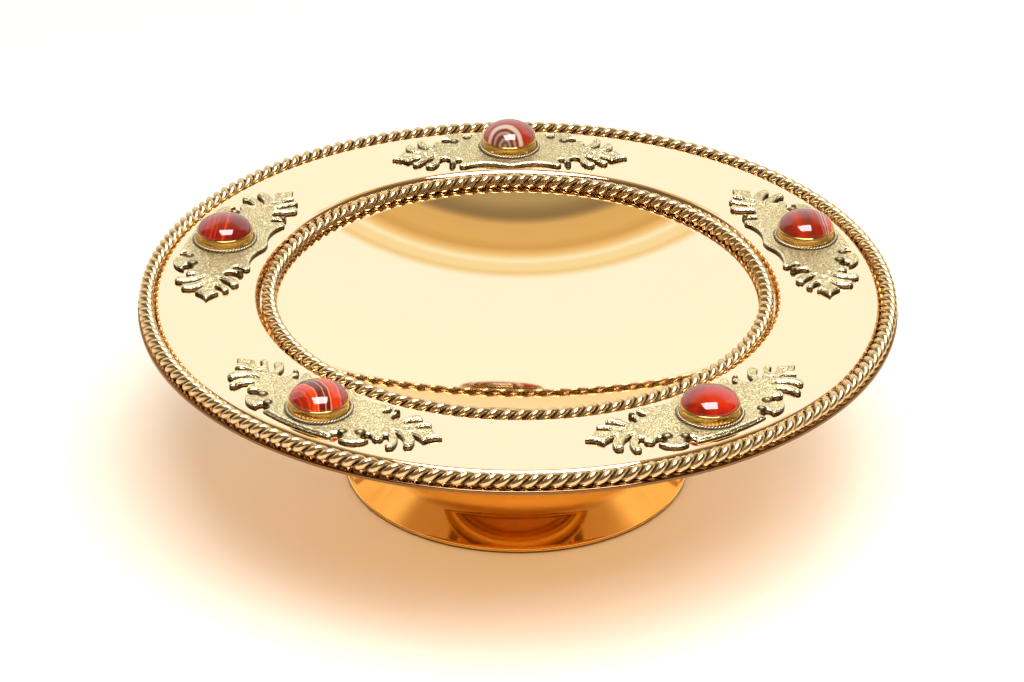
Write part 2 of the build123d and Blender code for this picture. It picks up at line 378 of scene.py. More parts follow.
@dataclass(frozen=True)
class PolishedBrass:
    """Spun or drawn brass, polished, with faint spinning lines and handling haze.

    It can be darkened with painted shade inside core_radius, outside rim_radius and
    under the height base_line; a limit of 0 leaves that part out.
    """

    name: str
    colour: Colour
    shade: Colour
    roughness: float = 0.05
    haze: float = 0.06
    spin_lines: float = 0.04
    lines_per_metre: float = 1800.0
    edge: Colour = (1.0, 0.95, 0.82)
    core_radius: float = 0.0
    # Limits, fades and colours of the painted shade.
    core_fade: float = 3.0 * MM
    core_shade_colour: Colour = (0.42, 0.17, 0.03)
    rim_radius: float = 0.0
    base_line: float = 0.0
    line_fade: float = 0.3 * MM
    shade_line_colour: Colour = (0.2, 0.1, 0.04)

    def build(self) -> bpy.types.Material:
        """Make the material.

        Returns:
            The material.
        """
        material, g = new_material(self.name)
        here = g.here()
        cloud = g.noise(here, 38.0, 4.0, 0.6)
        fine = g.noise(here, 900.0, 3.0, 0.6)
        colour = g.blend(g.math("MULTIPLY_ADD", cloud, 0.5), self.colour, self.shade)
        rough = g.math("MULTIPLY", g.math("MULTIPLY", cloud, cloud), self.haze)
        rough = g.math("ADD", rough, g.math("MULTIPLY", fine, self.haze * 0.4))
        rough = g.math("ADD", rough, self.roughness)
        parts = g.add("ShaderNodeSeparateXYZ", {0: here})
        squares = g.math("ADD", g.math("MULTIPLY", parts.outputs[0], parts.outputs[0]),
                         g.math("MULTIPLY", parts.outputs[1], parts.outputs[1]))
        radius = g.math("SQRT", squares)
        inputs = {"W": g.math("MULTIPLY", radius, self.lines_per_metre), "Scale": 1.0, "Detail": 2.0}
        line = g.add("ShaderNodeTexNoise", inputs, noise_dimensions="1D").outputs[0]
        normal = g.bump(line, self.spin_lines, 0.00002)
        # Painted shade: darker inside core_radius, outside rim_radius and under base_line, each fading in over
        # its width.
        for limit, high, low, fade, painted_shade in (
                (self.core_radius, self.core_radius, radius, self.core_fade, self.core_shade_colour),
                (self.rim_radius, radius, self.rim_radius, self.line_fade, self.shade_line_colour),
                (self.base_line, self.base_line, parts.outputs[2], self.line_fade, self.shade_line_colour)):
            if limit:
                past = g.math("DIVIDE", g.math("SUBTRACT", high, low), fade, clamp=True)
                colour = g.blend(past, colour, painted_shade)
        g.surface({
            "Base Color": colour, "Roughness": rough, "Normal": normal,
            "Metallic": 1.0, "Specular Tint": (*self.edge, 1.0)})
        return material


@dataclass(frozen=True)
class GroovedBrass:
    """Brass darkened towards the creases between strands, partly patina and partly painted shade; reads the
    piece's "groove" attribute.
    """

    name: str
    crown: Colour
    groove: Colour
    roughness: float = 0.12
    groove_roughness: float = 0.35

    def build(self) -> bpy.types.Material:
        """Make the material.

        Returns:
            The material.
        """
        material, g = new_material(self.name)
        here = g.here()
        depth = g.add("ShaderNodeAttribute", attribute_name="groove").outputs["Fac"]
        speck = g.noise(here, 700.0, 4.0, 0.6)
        # Darker towards the creases between strands: partly patina, partly painted shade.
        crease_patina_and_shade = g.math("MULTIPLY", depth, g.math("ADD", speck, 0.5), clamp=True)
        rough = g.math("ADD", g.math("MULTIPLY", crease_patina_and_shade, self.groove_roughness), self.roughness)
        scratch = g.noise(here, 2600.0, 2.0)
        g.surface({
            "Base Color": g.blend(crease_patina_and_shade, self.crown, self.groove), "Roughness": rough,
            "Normal": g.bump(scratch, 0.12, 0.00003), "Metallic": 1.0,
            "Specular Tint": (1.0, 0.95, 0.82, 1.0)})
        return material


@dataclass(frozen=True)
class StippledBrass:
    """Cast brass: matted, wormy ground with bright rubbed edges; reads "edge" (1 at the rim of the casting,
    below 0 where shade is painted).
    """

    name: str
    ground: Colour
    bright: Colour
    hollow: Colour
    # Colour of the painted shade along outlines, round bosses and the bead wire, and down the walls.
    painted_shade_colour: Colour = (0.07, 0.045, 0.02)
    worm_scale: float = 1500.0

    def build(self) -> bpy.types.Material:
        """Make the material.

        Returns:
            The material.
        """
        material, g = new_material(self.name)
        here = g.here()
        edge = g.add("ShaderNodeAttribute", attribute_name="edge").outputs["Fac"]
        worms = g.noise(here, self.worm_scale, 1.0, 0.4)
        ridge = g.math("MULTIPLY", g.math("ABSOLUTE", g.math("SUBTRACT", worms, 0.5)), 6.0, clamp=True)
        grains = g.noise(here, 2400.0, 2.0, 0.6)
        matt = g.math("SUBTRACT", 1.0, edge, clamp=True)
        height = g.math("ADD", g.math("MULTIPLY", ridge, 0.75), g.math("MULTIPLY", grains, 0.25))
        height = g.math("MULTIPLY", height, matt)
        ground = g.blend(ridge, self.hollow, self.ground)
        rough = g.math("ADD", g.math("MULTIPLY", matt, 0.2), 0.14)
        clean = g.blend(g.math("MULTIPLY", edge, 1.0, clamp=True), ground, self.bright)
        # Painted shade where the edge value is below 0.
        painted_shade = g.math("MULTIPLY", edge, -1.0, clamp=True)
        g.surface({
            "Base Color": g.blend(painted_shade, clean, self.painted_shade_colour), "Roughness": rough,
            "Normal": g.bump(height, 0.7, 0.00022), "Metallic": 1.0,
            "Specular Tint": (1.0, 0.97, 0.85, 1.0)})
        return material


@dataclass(frozen=True)
class BandedAgate:
    """Polished agate. Bands are counted as the distance from a seed point, or across sheets."""

    name: str
    stops: tuple[tuple[float, Colour], ...]
    seed: Colour
    stretch: Colour
    spread: float
    banding: Banding = Banding.SHELLS
    wobble: float = 0.0012
    wobble_scale: float = 160.0
    cloud: Colour = (0.55, 0.08, 0.03)
    cloudiness: float = 0.15
    depth: float = 1.4

    def deepen(self, colour: Colour) -> Colour:
        """Colour with every channel raised to the power of the stone's depth."""
        return tuple(channel ** self.depth for channel in colour)

    def build(self, centre: Vector) -> bpy.types.Material:
        """Make the material for the stone that stands at one centre.

        Args:
            centre: Middle of the stone's girdle.

        Returns:
            The material.
        """
        material, g = new_material(self.name)
        here = g.here()
        local = g.add("ShaderNodeMapping", {"Vector": here, "Location": tuple(-c for c in centre)}).outputs[0]
        inputs = {"Vector": local, "Scale": self.wobble_scale, "Detail": 3.0}
        drift = g.add("ShaderNodeTexNoise", inputs).outputs[1]
        drift = g.vector("SCALE", g.vector("SUBTRACT", drift, (0.5, 0.5, 0.5)), Scale=self.wobble)
        moved = g.vector("SUBTRACT", g.vector("ADD", local, drift), self.seed)
        if self.banding is Banding.SHELLS:
            away = g.vector("LENGTH", g.vector("MULTIPLY", moved, self.stretch))
        else:
            away = g.vector("DOT_PRODUCT", moved, self.stretch)
        along = g.math("DIVIDE", away, self.spread)
        bands = g.ramp(along, [(place_on, self.deepen(colour)) for place_on, colour in self.stops])
        cloud = g.noise(local, 220.0, 4.0, 0.6)
        mist = g.math("MULTIPLY", g.math("MULTIPLY", cloud, cloud), self.cloudiness * 3.0, clamp=True)
        g.surface({
            "Base Color": g.blend(mist, bands, self.deepen(self.cloud)), "Roughness": 0.06, "IOR": 1.54,
            "Subsurface Weight": 0.12, "Subsurface Radius": (1.0, 0.35, 0.2), "Subsurface Scale": 0.0015,
            "Coat Weight": 0.2, "Coat Roughness": 0.02,
            "Normal": g.bump(g.noise(local, 1500.0), 0.03, 0.00002)})
        return material


# ---------------------------------------------------------------- plate and foot


@dataclass
class Plate:
    """The spun plate: flat rim, stepped outer ledge, rolled inner edge, ledge and dish."""

    finish: PolishedBrass
    sheet: float = 1.5 * MM
    outer_step: float = 3.2 * MM
    inner_step: float = 4.0 * MM
    step_radius: float = 119.2 * MM
    step_round: float = 2.0 * MM
    under_share: float = 0.3
    roll_radius: float = 2.4 * MM
    wall_radius: float = 85.6 * MM
    corner: float = 0.8 * MM
    edge_round: float = 0.5 * MM
    join_radius: float = 44.0 * MM
    ledge_lap: float = 0.9 * MM
    rope_width: float = 5.0 * MM
    join_slope: float = 11.6
    edge_slope: float = 21.0
    steps: int = 512

    def dish(self, ledge_z: float, edge_r: float, below: float) -> np.ndarray:
        """Curve of the dish from its middle out to the ledge.

        Two tangent circles; a point at a slope s lies at (R sin s, -R cos s)
        from its circle's centre, with R made longer by the sheet for the underside.

        Args:
            ledge_z: Height of the inner ledge.
            edge_r: Radius where the dish meets the ledge.
            below: How far under the upper face the curve runs.

        Returns:
            Array of (radius, height), from the axis outwards.
        """
        inner, outer = math.radians(self.join_slope), math.radians(self.edge_slope)
        middle_curve = self.join_radius / math.sin(inner)
        edge_curve = (edge_r - self.join_radius) / (math.sin(outer) - math.sin(inner))
        edge_z = ledge_z + edge_curve * math.cos(outer)
        edge_centre = self.join_radius - edge_curve * math.sin(inner)
        middle_z = edge_z - edge_curve * math.cos(inner) + middle_curve * math.cos(inner)
        middle_curve, edge_curve = middle_curve + below, edge_curve + below
        s = np.linspace(0, inner, 60)
        t = np.linspace(inner, outer, 31)[1:]
        first = np.stack([middle_curve * np.sin(s), middle_z - middle_curve * np.cos(s)], 1)
        second = np.stack([edge_centre + edge_curve * np.sin(t), edge_z - edge_curve * np.cos(t)], 1)
        return np.concatenate([first, second])

    def profile(self) -> np.ndarray:
        """Closed section of the plate, upper face first, then back underneath.

        Returns:
            Array of (radius, height).
        """
        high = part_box("plate")[1]
        top, edge = high.z, high.x
        inner_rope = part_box("inner_rope")[0]
        ledge_in, ledge_out = top - self.inner_step, top - self.outer_step
        dish_edge = -inner_rope.x - self.rope_width - self.ledge_lap
        wall, step, t, c = self.wall_radius, self.step_radius, self.sheet, self.corner
        roll, rnd, er = self.roll_radius, self.step_round, self.edge_round
        under_round = rnd * self.under_share
        upper = [
            self.dish(ledge_in, dish_edge, 0.0),
            straight((dish_edge, ledge_in), (wall - c, ledge_in), 6),
            arc((wall - c, ledge_in + c), c, -90, 0, 8),
            arc((wall + roll, top - roll), roll, 180, 90, 22),
            straight((wall + roll, top), (step - rnd, top), 20),
            arc((step - rnd, top - rnd), rnd, 90, 0, 12),
            arc((step + c, ledge_out + c), c, 180, 270, 8),
            straight((step + c, ledge_out), (edge - er, ledge_out), 4),
            arc((edge - er, ledge_out - er), er, 90, 0, 8),
            arc((edge - er, ledge_out - t + er), er, 0, -90, 8),
        ]
        under = [
            arc((step - t + c, ledge_out - t + c), c, 270, 180, 6),
            arc((step - t - under_round, top - t - under_round), under_round, 0, 90, 4),
            straight((step - t - under_round, top - t), (wall + roll, top - t), 12),
            arc((wall + roll, top - roll), roll - t, 90, 180, 8),
            arc((wall - c, ledge_in + c), c + t, 0, -90, 10),
            self.dish(ledge_in, dish_edge, t)[::-1],
        ]
        return np.concatenate(upper + under)

    def build(self) -> bpy.types.Object:
        """Spin the section and dress it."""
        piece = revolve("plate_body", self.profile(), self.steps)
        return finish_piece(piece, self.finish.build(), "plate_brass", "plate")


@dataclass
class Foot:
    """The spun foot: upright lip, concave flare, neck and soldered flange."""

    finish: PolishedBrass
    sheet: float = 1.5 * MM
    lip_height: float = 1.6 * MM
    lip_step: float = 0.9 * MM
    lip_round: float = 0.5 * MM
    inner_rise: float = 0.4 * MM
    bend_radius: float = 45.0 * MM
    bend_inset: float = 0.5 * MM
    neck_radius: float = 32.0 * MM
    neck_height: float = 30.0 * MM
    flange_radius: float = 37.0 * MM
    flange_thickness: float = 1.6 * MM
    flange_fall: float = 1.03 * MM
    base_slope: float = 16.0
    steps: int = 384

    @staticmethod
    def curve(a: tuple, b: tuple, out: tuple, arrive: tuple, steps: int) -> np.ndarray:
        """Cubic Hermite curve h00 a + h10 out + h01 b + h11 arrive.

        Args:
            a: First point.
            b: Last point.
            out: Unit direction leaving a.
            arrive: Unit direction arriving at b.
            steps: Number of points.

        Returns:
            Array of (radius, height).
        """
        a, b, out, arrive = (np.asarray(v, float) for v in (a, b, out, arrive))
        t = np.linspace(0, 1, steps)[:, None]
        length = np.linalg.norm(b - a)
        return ((2 * t**3 - 3 * t**2 + 1) * a + (t**3 - 2 * t**2 + t) * length * out
                + (3 * t**2 - 2 * t**3) * b + (t**3 - t**2) * length * arrive)

    def profile(self) -> np.ndarray:
        """Closed section of the foot, outside first, then down the inside.

        Returns:
            Array of (radius, height).
        """
        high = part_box("foot")[1]
        radius, top = high.x, high.z
        slope = math.radians(self.base_slope)
        out = (-math.cos(slope), math.sin(slope))
        back = (math.cos(slope), -math.sin(slope))
        neck, inner_neck, h = self.neck_radius, self.neck_radius - self.sheet, self.lip_height
        rnd, lip_in = self.lip_round, radius - self.sheet
        lip_out, inner_bend_radius = radius - self.lip_step, self.bend_radius - self.bend_inset
        bend = (self.bend_radius, h + (lip_out - self.bend_radius) * math.tan(slope))
        inner_bend = (inner_bend_radius, self.inner_rise + (lip_in - inner_bend_radius) * math.tan(slope))
        fillet = self.flange_radius - neck
        flange_low = top - self.flange_thickness
        parts = [
            arc((radius - rnd, rnd), rnd, -90, 0, 6),
            arc((radius - rnd, h - rnd), rnd, 0, 90, 8),
            straight((lip_out, h), bend, 40),
            self.curve(bend, (neck, self.neck_height), out, (0, 1), 70),
            arc((neck + fillet, flange_low - fillet), fillet, 180, 90, 16),
            np.array([(self.flange_radius, flange_low), (self.flange_radius, top)]),
            np.array([(inner_neck, top - self.flange_fall)]),
            self.curve((inner_neck, self.neck_height), inner_bend, (0, -1), back, 50),
            straight(inner_bend, (lip_in, self.inner_rise), 20),
            np.array([(lip_in, self.inner_rise), (lip_in, 0.0)]),
        ]
        return np.concatenate(parts)

    def build(self) -> bpy.types.Object:
        """Spin the section and dress it."""
        piece = revolve("foot_body", self.profile(), self.steps)
        return finish_piece(piece, self.finish.build(), "foot_brass", "foot")


# ---------------------------------------------------------------- twisted wires


@dataclass
class TwistedRing:
    """A ring of two round wires twisted together."""

    node: str
    slot: str
    turns: int
    lay: Lay = Lay.RIGHT
    strands: int = 2
    steps_per_turn: int = 20
    sides: int = 16
    seat_flat: float = 0.2 * MM
    # How dark the strands grow away from their outward crests: partly patina in the creases, partly painted
    # shade.
    patina_and_shade: float = 0.5
    crest_clearing: float = 0.75

    def strand(self, centre: Vector, ring: float, wire: float, z: float, start: float) -> tuple:
        """Surface of one strand.

        The strand's middle runs round the ring at radius R + a cos p and height
        z + a sin p, where a is half the wire's radius and p grows by one turn per
        pitch. The wire's surface is that middle plus its own radius in the two
        directions square to the run.

        Args:
            centre: Centre of the ring.
            ring: Radius R of the ring's centre line.
            wire: Radius over the whole twist.
            z: Height of the ring's centre line.
            start: Phase of this strand in radians.

        Returns:
            Points as a grid, and the groove value of each point.
        """
        count = self.turns * self.steps_per_turn
        angle = np.linspace(0, 2 * np.pi, count, endpoint=False)
        p = self.lay.value * self.turns * angle + start
        offset = wire / 2
        r = ring + offset * np.cos(p)
        middle = np.stack([r * np.cos(angle), r * np.sin(angle), z + offset * np.sin(p)], 1)
        run = np.roll(middle, -1, axis=0) - np.roll(middle, 1, axis=0)
        run /= np.linalg.norm(run, axis=1)[:, None]
        core = np.stack([ring * np.cos(angle), ring * np.sin(angle), z + 0 * angle], 1)
        away = middle - core
        away -= np.sum(away * run, axis=1)[:, None] * run
        away /= np.linalg.norm(away, axis=1)[:, None]
        side = np.cross(run, away)
        q = np.linspace(0, 2 * np.pi, self.sides, endpoint=False)
        points = (middle[:, None] + wire / 2 * (np.cos(q)[None, :, None] * away[:, None]
                                               + np.sin(q)[None, :, None] * side[:, None]))
        # Groove value: high towards the crease between strands, low on the outward crest; partly patina, partly
        # painted shade.
        groove = np.clip(self.patina_and_shade - self.crest_clearing * np.cos(q), 0, 1)[None, :] + 0 * angle[:, None]
        points[..., 0] += centre[0]
        points[..., 1] += centre[1]
        return points, groove

    def build(self, name: str, finish: GroovedBrass) -> bpy.types.Object:
        """Wind the strands and dress them.

        Args:
            name: Name of the new object.
            finish: The wire's finish.

        Returns:
            The new object.
        """
        low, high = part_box(self.node)
        centre = (low + high) / 2
        wire = (high.z - low.z + self.seat_flat) / 2
        ring = (high.x - low.x) / 2 - wire
        z = high.z - wire
        grids, grooves, faces, first = [], [], [], 0
        for number in range(self.strands):
            start = 2 * np.pi * number / self.strands
            points, groove = self.strand(centre, ring, wire, z, start)
            quads = grid_faces(points.shape[0], points.shape[1], True, True)
            grids.append(points.reshape(-1, 3))
            grooves.append(groove.ravel())
            faces.append(quads + first)
            first += len(grids[-1])
        piece = make_mesh(name, np.concatenate(grids), np.concatenate(faces))
        add_attribute(piece, "groove", np.concatenate(grooves))
        return finish_piece(piece, finish.build(), self.slot, self.node)


# ---------------------------------------------------------------- plaques


@dataclass
class Plaque:
    """Pierced leaf casting: flat ground, bevelled border, domed leaves and round bosses."""

    step: float = 0.24 * MM
    snap_inside: float = 0.35
    snap_outside: float = 0.8
    flatness: float = 0.02 * MM
    weld: float = 0.002 * MM
    wall: float = 0.75 * MM
    bevel: float = 0.60 * MM
    arc_bevel: float = 1.05 * MM
    arc_wall: float = 0.35 * MM
    arc_start: float = 7.0 * MM
    arc_half: float = 16.0 * MM
    arc_fade: float = 2.0 * MM
    leaf_start: float = 22.0 * MM
    leaf_dome: float = 0.35 * MM
    leaf_fade: float = 5.0 * MM
    leaf_round: float = 1.7 * MM
    leaf_dip: float = 0.9
    dip_start: float = 1.4 * MM
    dip_width: float = 1.2 * MM
    bosses: tuple = (
        (14.9 * MM, 6.9 * MM, 1.25 * MM), (19.6 * MM, 3.9 * MM, 1.45 * MM), (20.4 * MM, -13.3 * MM, 0.8 * MM))
    boss_rise: float = 0.45 * MM
    boss_ring: tuple[float, float] = (0.5, 1.3)
    # Band of painted shadow just outside the bead wire, as distances from the station centre.
    shade_ring: tuple[float, float] = (9.9 * MM, 10.95 * MM)
    bright_start: float = 1.25
    bright_width: float = 1.05
    outline_width: float = 0.12 * MM
    # Edge values below 0 paint shade; this one is a dark line along the outline for the casting's shaded
    # thickness.
    outline_shade: float = -0.75
    # Painted shade round the foot of each boss.
    boss_shade: float = -1.0
    # Painted shadow round the bead wire.
    ring_shade: float = -0.85
    # Painted shade down the walls, darkest at their foot.
    wall_shade: float = -3.0
    blocks: int = 24

    def outline(self, node: str, angle: float, centre: Vector) -> np.ndarray:
        """Border segments of a casting's underside, turned so that +Y points away from the axis.

        Args:
            node: Model node of the casting.
            angle: Station angle in radians.
            centre: Station centre.

        Returns:
            Array of segments, each two points of (across, up).
        """
        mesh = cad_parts[node].data
        mesh.calc_loop_triangles()
        corner = np.zeros(len(mesh.loop_triangles) * 3, np.int32)
        mesh.loop_triangles.foreach_get("vertices", corner)
        place_of = np.zeros(len(mesh.vertices) * 3)
        mesh.vertices.foreach_get("co", place_of)
        tri = place_of.reshape(-1, 3)[corner.reshape(-1, 3)]
        base = tri[np.abs(tri[..., 2] - tri[..., 2].min()).max(axis=1) < self.flatness]
        key = np.round(base[..., :2] / self.weld).astype(np.int64)
        edges = np.concatenate([key[:, [0, 1]], key[:, [1, 2]], key[:, [2, 0]]])
        flat = edges.reshape(-1, 4)
        swap = (flat[:, 0] > flat[:, 2]) | ((flat[:, 0] == flat[:, 2]) & (flat[:, 1] > flat[:, 3]))
        flat[swap] = flat[swap][:, [2, 3, 0, 1]]
        unique, count = np.unique(flat, axis=0, return_counts=True)
        border = unique[count == 1].reshape(-1, 2, 2) * self.weld
        border = border - np.array([centre[0], centre[1]])
        turn = math.pi / 2 - angle
        c, s = math.cos(turn), math.sin(turn)
        return border @ np.array([[c, s], [-s, c]])

    def distance(self, points: np.ndarray, border: np.ndarray) -> tuple:
        """Signed distance to the border and its nearest point.

        The distance to a segment is the distance to its nearest point; a point
        is inside if a line to its right crosses the border an odd number of times.

        Args:
            points: Array of (across, up).
            border: Array of segments.

        Returns:
            Distance, positive inside, and the nearest border point of each point.
        """
        best = np.full(len(points), np.inf)
        near = np.zeros_like(points)
        crossings = np.zeros(len(points), int)
        row = np.arange(len(points))
        x, y = points[:, None, 0], points[:, None, 1]
        for block in np.array_split(border, self.blocks):
            start, end = block[None, :, 0], block[None, :, 1]
            run = end - start
            t = ((points[:, None] - start) * run).sum(axis=2) / np.maximum((run * run).sum(axis=2), 1e-18)
            foot = start + np.clip(t, 0, 1)[..., None] * run
            gap = np.linalg.norm(points[:, None] - foot, axis=2)
            pick = gap.argmin(axis=1)
            closer = gap[row, pick] < best
            best = np.where(closer, gap[row, pick], best)
            near = np.where(closer[:, None], foot[row, pick], near)
            spans = (start[..., 1] > y) != (end[..., 1] > y)
            level = np.where(run[..., 1] == 0, 1.0, run[..., 1])
            crossings += (spans & (x < start[..., 0] + (y - start[..., 1]) * run[..., 0] / level)).sum(axis=1)
        inside = crossings % 2 == 1
        return np.where(inside, best, -best), near

    def relief(self, border: np.ndarray, thickness: float) -> tuple:
        """Relief of the casting as a height over a square grid of points.

        Height is wall + (thickness - wall) (1 - (1 - e)^2), where e is the
        distance to the border over the bevel's width, held at 1; the leaves rise
        a little more towards their middles, and each boss adds a round cap.

        Args:
            border: Border segments.
            thickness: Height of the flat ground over the rim.

        Returns:
            Grid points (across, up, height), edge values and quads of the kept cells.
        """
        low, high = border.min(axis=(0, 1)) - self.step, border.max(axis=(0, 1)) + self.step
        x, y = np.arange(low[0], high[0], self.step), np.arange(low[1], high[1], self.step)
        grid = np.stack(np.meshgrid(x, y, indexing="ij"), -1).reshape(-1, 2)
        gap, near = self.distance(grid, border)
        kept = gap > -self.snap_outside * self.step
        snap = kept & (gap < self.snap_inside * self.step)
        grid[snap] = near[snap]
        gap = np.where(snap, 0.0, gap)
        far_enough = np.clip((near[:, 1] - self.arc_start) / self.arc_fade, 0, 1)
        on_arc = far_enough * np.clip((self.arc_half - np.abs(near[:, 0])) / self.arc_fade, 0, 1)
        bevel = self.bevel + (self.arc_bevel - self.bevel) * on_arc
        wall = self.wall + (self.arc_wall - self.wall) * on_arc
        rise = np.clip(gap / bevel, 0, 1)
        height = wall + (thickness - wall) * (1 - (1 - rise) ** 2)
        leaf = np.clip((np.abs(grid[:, 0]) - self.leaf_start) / self.leaf_fade, 0, 1)
        height += leaf * self.leaf_dome * np.sin(np.clip(gap / self.leaf_round, 0, 1) * np.pi / 2)
        height -= leaf * self.leaf_dome * self.leaf_dip * np.clip((gap - self.dip_start) / self.dip_width, 0, 1)
        bright = np.clip(self.bright_start - gap / (self.bright_width * bevel), 0, 1)
        # Painted shade: a dark line along the outline.
        bright = np.where(gap < self.outline_width, self.outline_shade, bright)
        ring_low, ring_high = self.boss_ring
        for across, up, radius in self.bosses:
            away = np.hypot(np.abs(grid[:, 0]) - across, grid[:, 1] - up)
            cap = np.sqrt(np.clip(1 - (away / radius) ** 2, 0, 1))
            height = np.maximum(height, np.where(away < radius, thickness + self.boss_rise * cap, 0))
            # Painted shade in a ring round the foot of the boss.
            bright = np.where((away > ring_low * radius) & (away < ring_high * radius), self.boss_shade, bright)
        # Painted shadow in a band just outside the bead wire.
        middle = np.hypot(grid[:, 0], grid[:, 1])
        bright = np.where((middle > self.shade_ring[0]) & (middle < self.shade_ring[1]), self.ring_shade, bright)
        quads = grid_faces(len(x), len(y), False, False)
        quads = quads[kept[quads].all(axis=1)]
        return np.column_stack([grid, height]), bright, quads

    def shell(self, points: np.ndarray, quads: np.ndarray, edge: np.ndarray) -> tuple:
        """Closed body: the relief, a flat underside and a wall along the free border.

        Args:
            points: Grid points (across, up, height).
            quads: Quads of the upper face.
            edge: Edge value of each point.

        Returns:
            Points, quads and edge values of the closed body.
        """
        used = np.unique(quads)
        number = np.zeros(len(points), int)
        number[used] = np.arange(len(used))
        quads, points, edge = number[quads], points[used], edge[used]
        sides = np.concatenate([quads[:, [i, (i + 1) % 4]] for i in range(4)])
        key = np.sort(sides, axis=1)
        _, index, count = np.unique(key, axis=0, return_index=True, return_counts=True)
        free = sides[index[count == 1]]
        below = points * np.array([1.0, 1.0, 0.0])
        n = len(points)
        walls = np.column_stack([free[:, 0], free[:, 1], free[:, 1] + n, free[:, 0] + n])
        # The underside points carry the wall's painted shade value, so each wall darkens towards the plate.
        return (np.concatenate([points, below]), np.concatenate([quads, quads[:, ::-1] + n, walls]),
                np.concatenate([edge, np.full(n, self.wall_shade)]))


# ---------------------------------------------------------------- settings


@dataclass
class Setting:
    """One stone with its collar, cup and beaded wire."""

    number: int
    angle: float
    centre: Vector
    collar_wall: float = 0.45 * MM
    lip_round: float = 0.34 * MM
    lip_lean: float = 0.1 * MM
    hollow: float = 0.16 * MM
    lip_drop: float = 1.9
    grip: float = 0.05 * MM
    stone_inset: float = 0.45 * MM
    stone_fullness: float = 1.95
    steps: int = 96

    def collar_profile(self) -> np.ndarray:
        """Closed section of the collar: slightly hollow wall with a rounded lip leaning over the stone.

        The wall stands at radius base - lean t - hollow sin(pi t), for t from 0 to 1 up to the lip.

        Returns:
            Array of (radius, height).
        """
        low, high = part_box(f"bezel_collar_{self.number}")
        outer_base = (high.x - low.x) / 2
        outer_top = outer_base - self.lip_lean
        base, top, w, r = low.z, high.z, self.collar_wall, self.lip_round
        inner_top, inner_base = outer_top - w, outer_base - w
        t = np.linspace(0, 1, 14)
        wall = np.column_stack([outer_base - self.lip_lean * t - self.hollow * np.sin(np.pi * t),
                                base + (top - r * self.lip_drop - base) * t])
        lip = arc((outer_top - r, top - r), r, -50, 150, 16)
        inner = np.array([
            (inner_top - self.grip, top - 0.7 * r),
            (inner_top - 0.4 * self.grip, top - 3 * r),
            (inner_base, base)])
        return np.concatenate([wall, lip, inner])

    def stone_profile(self) -> np.ndarray:
        """Closed section of the stone.

        The dome is a superellipse: radius a |cos t|^(2/n), height b |sin t|^(2/n).

        Returns:
            Array of (radius, height).
        """
        low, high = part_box(f"stone_{self.number}")
        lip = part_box(f"bezel_collar_{self.number}")[1].z
        girdle, dome = (high.x - low.x) / 2, high.z - lip
        t = np.linspace(0, np.pi / 2, 40)
        power = 2 / self.stone_fullness
        curve = np.column_stack([girdle * np.cos(t).clip(0) ** power, lip + dome * np.sin(t) ** power])
        curve[-1, 0] = 0.0
        return np.concatenate([np.array([(0.0, low.z), (girdle - self.stone_inset, low.z)]), curve])

    def build(self, collar: bpy.types.Material, bead: GroovedBrass, stone: bpy.types.Material) -> None:
        """Make the collar, the beaded wire and the stone.

        Args:
            collar: Material of the collar and the cup.
            bead: Finish of the beaded wire.
            stone: Material of the stone.
        """
        n = self.number
        ring = place(revolve(f"collar_wall_{n}", self.collar_profile(), self.steps), self.centre)
        finish_piece(ring, collar, "collar_brass", f"bezel_collar_{n}")
        # The bead wire is darkened everywhere but its outward crests: partly patina, partly painted shade
        # between the beads.
        wire = TwistedRing(f"beaded_wire_{n}", "bead_brass", turns=30, steps_per_turn=12, sides=10,
                           seat_flat=0.08 * MM, patina_and_shade=0.95)
        wire.build(f"bead_ring_{n}", bead)
        gem = place(revolve(f"cabochon_{n}", self.stone_profile(), self.steps), self.centre)
        finish_piece(gem, stone, f"agate_{n}", f"stone_{n}")


# ---------------------------------------------------------------- studio


@dataclass(frozen=True)
class Lamp:
    """One rectangular lamp pointing at the plate.

    The tilt is in degrees away from overhead, towards the front and towards
    the right. A lamp can be kept out of the matt or out of the shiny light.
    """

    name: str
    tilt: tuple[float, float]
    distance: float
    size: tuple[float, float]
    power: float
    colour: Colour = (1.0, 1.0, 1.0)
    diffuse: bool = True
    glossy: bool = True

    def build(self) -> None:
        """Hang the lamp."""
        light = bpy.data.lights.new(self.name, "AREA")
        light.shape = "RECTANGLE"
        light.size, light.size_y = self.size
        light.energy, light.color = self.power, self.colour
        lamp = bpy.data.objects.new(self.name, light)
        lamp.visible_diffuse, lamp.visible_glossy = self.diffuse, self.glossy
        forward, right = (math.tan(math.radians(angle)) for angle in self.tilt)
        place_at = Vector((right, -forward, 1.0)).normalized() * self.distance
        turn = place_at.to_track_quat("Z", "Y").to_matrix().to_4x4()
        lamp.matrix_world = Matrix.Translation(place_at) @ turn
        bpy.context.scene.collection.objects.link(lamp)


